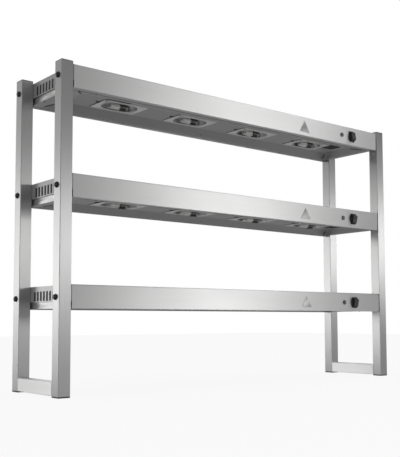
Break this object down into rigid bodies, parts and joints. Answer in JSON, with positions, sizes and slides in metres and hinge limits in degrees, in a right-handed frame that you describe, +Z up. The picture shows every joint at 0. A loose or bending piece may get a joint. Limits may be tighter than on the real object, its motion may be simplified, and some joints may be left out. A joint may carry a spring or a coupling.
{
  "type": "heated food gantry",
  "caption": "Free-standing heated food gantry: stainless shelves between square tube end frames, with heat lamps under each shelf and a rocker switch and indicator on each front.",
  "frame": {"origin": "on the resting surface, midway between the four foot caps", "axes": "+X along the shelves towards the switches, +Y to the rear, +Z up; the switches face -Y"},
  "size_m": [1.5166, 0.328, 1],
  "materials": {
    "tube_steel": "brushed along the tube",
    "casing_steel": "fine brushed along the shelf",
    "tray_steel": "brushed, duller underside",
    "reflector_aluminium": "bright satin",
    "lamp_glass": "frosted, with a metal cap",
    "black_plastic": "fine moulded grain",
    "rocker_plastic": "semi-gloss",
    "indicator_lens": "smoked lens in a metal bezel"
  },
  "bodies": {
    "root": {"left_front_post": "tube_steel", "left_front_foot_cap": "black_plastic", "left_front_top_cap": "black_plastic", "left_rear_post": "tube_steel", "left_rear_foot_cap": "black_plastic", "left_rear_top_cap": "black_plastic", "left_foot_rail": "tube_steel", "right_front_post": "tube_steel", "right_front_foot_cap": "black_plastic", "right_front_top_cap": "black_plastic", "right_rear_post": "tube_steel", "right_rear_foot_cap": "black_plastic", "right_rear_top_cap": "black_plastic", "right_foot_rail": "tube_steel", "bottom_shelf_casing": "casing_steel", "bottom_shelf_right_end_panel": "casing_steel", "bottom_shelf_left_end_panel": "casing_steel", "bottom_shelf_reflector_tray": "tray_steel", "bottom_shelf_lamp_housing_1": "reflector_aluminium", "bottom_shelf_heat_lamp_1": "lamp_glass", "bottom_shelf_lamp_housing_2": "reflector_aluminium", "bottom_shelf_heat_lamp_2": "lamp_glass", "bottom_shelf_lamp_housing_3": "reflector_aluminium", "bottom_shelf_heat_lamp_3": "lamp_glass", "bottom_shelf_lamp_housing_4": "reflector_aluminium", "bottom_shelf_heat_lamp_4": "lamp_glass", "bottom_shelf_switch_housing": "black_plastic", "bottom_shelf_indicator": "indicator_lens", "middle_shelf_casing": "casing_steel", "middle_shelf_right_end_panel": "casing_steel", "middle_shelf_left_end_panel": "casing_steel", "middle_shelf_reflector_tray": "tray_steel", "middle_shelf_lamp_housing_1": "reflector_aluminium", "middle_shelf_heat_lamp_1": "lamp_glass", "middle_shelf_lamp_housing_2": "reflector_aluminium", "middle_shelf_heat_lamp_2": "lamp_glass", "middle_shelf_lamp_housing_3": "reflector_aluminium", "middle_shelf_heat_lamp_3": "lamp_glass", "middle_shelf_lamp_housing_4": "reflector_aluminium", "middle_shelf_heat_lamp_4": "lamp_glass", "middle_shelf_switch_housing": "black_plastic", "middle_shelf_indicator": "indicator_lens", "top_shelf_casing": "casing_steel", "top_shelf_right_end_panel": "casing_steel", "top_shelf_left_end_panel": "casing_steel", "top_shelf_reflector_tray": "tray_steel", "top_shelf_lamp_housing_1": "reflector_aluminium", "top_shelf_heat_lamp_1": "lamp_glass", "top_shelf_lamp_housing_2": "reflector_aluminium", "top_shelf_heat_lamp_2": "lamp_glass", "top_shelf_lamp_housing_3": "reflector_aluminium", "top_shelf_heat_lamp_3": "lamp_glass", "top_shelf_lamp_housing_4": "reflector_aluminium", "top_shelf_heat_lamp_4": "lamp_glass", "top_shelf_switch_housing": "black_plastic", "top_shelf_indicator": "indicator_lens", "cable_gland": "black_plastic"},
    "bottom_rocker": {"bottom_shelf_switch_rocker": "rocker_plastic"},
    "middle_rocker": {"middle_shelf_switch_rocker": "rocker_plastic"},
    "top_rocker": {"top_shelf_switch_rocker": "rocker_plastic"}
  },
  "joints": [
    {"name": "bottom_rocker_tilt", "type": "hinge", "parent": "root", "child": "bottom_rocker", "pos_m": [0.5565, -0.146, 0.2935], "axis": [1, 0, 0], "range_deg": [-24, 0]},
    {"name": "middle_rocker_tilt", "type": "hinge", "parent": "root", "child": "middle_rocker", "pos_m": [0.5565, -0.146, 0.6245], "axis": [1, 0, 0], "range_deg": [-24, 0]},
    {"name": "top_rocker_tilt", "type": "hinge", "parent": "root", "child": "top_rocker", "pos_m": [0.5565, -0.146, 0.9555], "axis": [1, 0, 0], "range_deg": [0, 24]}
  ]
}
